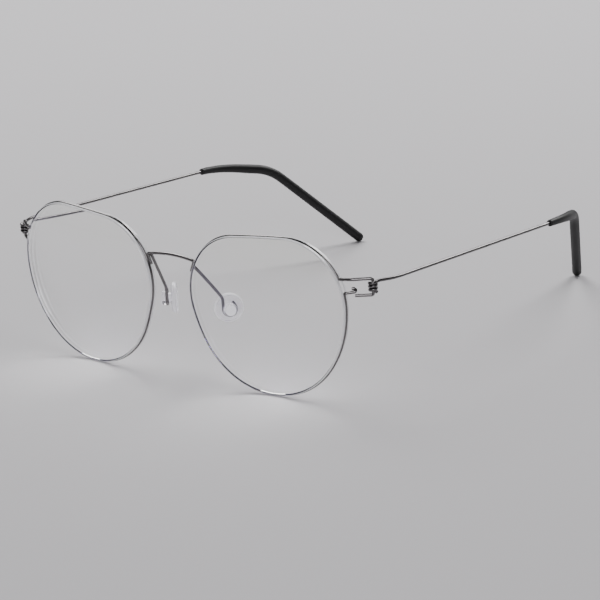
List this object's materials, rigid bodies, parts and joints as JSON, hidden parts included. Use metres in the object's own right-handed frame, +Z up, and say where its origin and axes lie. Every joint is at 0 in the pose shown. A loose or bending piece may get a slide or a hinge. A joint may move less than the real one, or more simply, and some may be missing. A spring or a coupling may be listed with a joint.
{
  "type": "wire-frame eyeglasses",
  "caption": "Wire-frame eyeglasses: round lenses held by a wire in an edge groove, coil hinges, silicone nose pads on wire arms, and soft temple tips.",
  "frame": {"origin": "under the middle of the whole pair, on the surface that it stands on with its temples open", "axes": "+X towards the wearer's left, +Y from the lenses back along the temples, +Z up"},
  "size_m": [0.1376, 0.1418, 0.0474],
  "materials": {
    "titanium_wire": "drawn titanium wire, dark grey, satin",
    "lens": "clear lens with a faint violet coating and a polished edge",
    "clear_silicone": "clear moulded silicone",
    "black_sleeve": "matte black soft sleeve"
  },
  "bodies": {
    "front": {"rim_wire_right": "titanium_wire", "rim_wire_left": "titanium_wire", "lens_right": "lens", "lens_left": "lens", "bridge": "titanium_wire", "pad_arm_right": "titanium_wire", "pad_arm_left": "titanium_wire"},
    "temple_right": {"temple_right": "titanium_wire", "temple_tip_right": "black_sleeve"},
    "temple_left": {"temple_left": "titanium_wire", "temple_tip_left": "black_sleeve"},
    "pad_right": {"nose_pad_right": "clear_silicone"},
    "pad_left": {"nose_pad_left": "clear_silicone"}
  },
  "joints": [
    {"name": "temple_right_fold", "type": "hinge", "parent": "front", "child": "temple_right", "pos_m": [0.06532, -0.05955, 0.0344], "axis": [0, 0, 1], "range_deg": [0, 78]},
    {"name": "temple_left_fold", "type": "hinge", "parent": "front", "child": "temple_left", "pos_m": [-0.06532, -0.05955, 0.0344], "axis": [0, 0, -1], "range_deg": [0, 82]},
    {"name": "nose_pad_right_turn", "type": "hinge", "parent": "front", "child": "pad_right", "pos_m": [0.01183, -0.05813, 0.02007], "axis": [0.7771, -0.6293, 0], "continuous": true},
    {"name": "nose_pad_left_turn", "type": "hinge", "parent": "front", "child": "pad_left", "pos_m": [-0.01183, -0.05813, 0.02007], "axis": [-0.7771, -0.6293, 0], "continuous": true}
  ]
}
